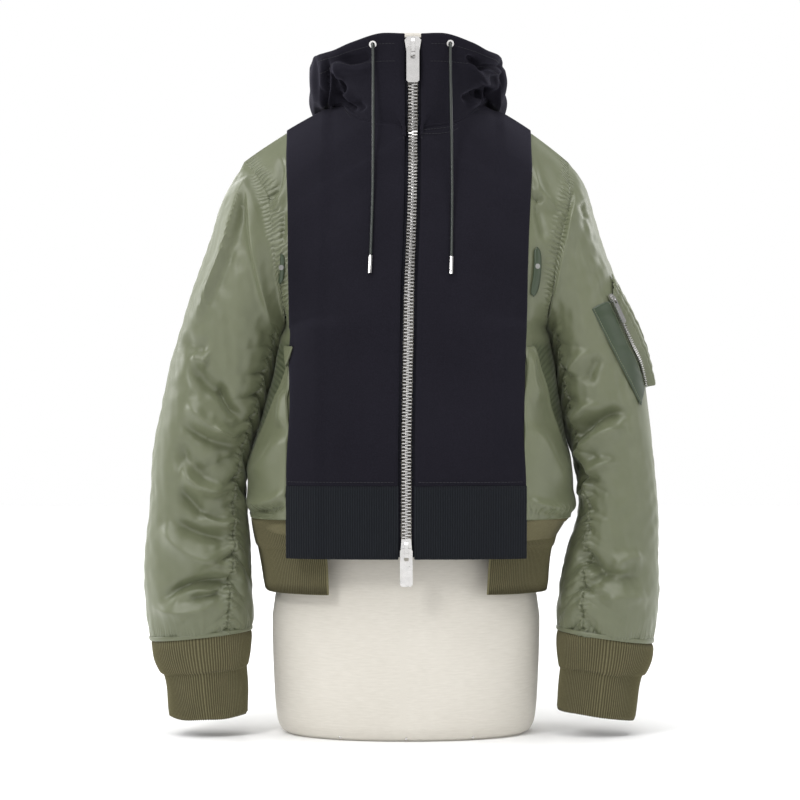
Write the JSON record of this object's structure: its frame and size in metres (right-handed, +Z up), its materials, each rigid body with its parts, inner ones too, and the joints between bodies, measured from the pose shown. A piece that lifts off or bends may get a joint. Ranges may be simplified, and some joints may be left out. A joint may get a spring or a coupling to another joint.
{
  "type": "hooded drawstring jacket on a dress form",
  "caption": "Hooded drawstring jacket with a zip-up jersey front over a short nylon bomber, worn open-necked on a limbless dress form that stands on its flat foot.",
  "frame": {"origin": "centre of the bounding box in plan, on the surface that the dress form stands on", "axes": "+Z up; the jacket's front faces -Y; +X to the viewer's right when looking at the front"},
  "size_m": [0.5831, 0.3124, 0.7955],
  "materials": {
    "sage_nylon": "padded nylon twill with a soft satin sheen",
    "dark_green_nylon": "plain dark green nylon",
    "olive_rib": "matt knitted rib",
    "navy_jersey": "heavy matt jersey",
    "navy_rib": "matt knitted rib",
    "navy_tape": "woven zip tape",
    "linen": "plain woven linen stretched on the form",
    "nickel": "polished nickel plate",
    "dark_cord": "smooth glossy round cord"
  },
  "bodies": {
    "garment": {"dress_form": "linen", "front_panel_left": "sage_nylon", "front_panel_right": "sage_nylon", "pocket_flap_left": "sage_nylon", "pocket_flap_right": "sage_nylon", "back_panel": "sage_nylon", "sleeve_left": "sage_nylon", "sleeve_right": "sage_nylon", "pen_pocket": "sage_nylon", "sleeve_pocket": "dark_green_nylon", "tab_left": "dark_green_nylon", "tab_right": "dark_green_nylon", "cuff_left": "olive_rib", "cuff_right": "olive_rib", "hem_rib": "olive_rib", "jersey_front_left": "navy_jersey", "jersey_front_right": "navy_jersey", "hood_left": "navy_jersey", "hood_right": "navy_jersey", "front_band_left": "navy_rib", "front_band_right": "navy_rib", "zip_tape_left": "navy_tape", "zip_tape_right": "navy_tape", "zip_chain": "nickel", "slider_top": "nickel", "slider_bottom": "nickel", "pocket_zip": "nickel", "pocket_slider": "nickel", "snap_left": "nickel", "snap_right": "nickel", "aglet_left": "nickel", "aglet_right": "nickel", "eyelet_left": "nickel", "eyelet_right": "nickel", "cord_left": "dark_cord", "cord_right": "dark_cord"},
    "top_pull": {"pull_top": "nickel"},
    "bottom_pull": {"pull_bottom": "nickel"},
    "sleeve_pull": {"pocket_pull": "nickel"}
  },
  "joints": [
    {"name": "top_pull_swing", "type": "hinge", "parent": "garment", "child": "top_pull", "pos_m": [0.0118, -0.09932, 0.77305], "axis": [-1, 0, 0], "range_deg": [0, 165]},
    {"name": "bottom_pull_swing", "type": "hinge", "parent": "garment", "child": "bottom_pull", "pos_m": [0.0043, -0.1529, 0.2155], "axis": [-1, 0, 0], "range_deg": [0, 165]},
    {"name": "sleeve_pull_swing", "type": "hinge", "parent": "garment", "child": "sleeve_pull", "pos_m": [0.23655, -0.09067, 0.49336], "axis": [-0.6899, -0.6798, -0.2487], "range_deg": [0, 150]}
  ]
}
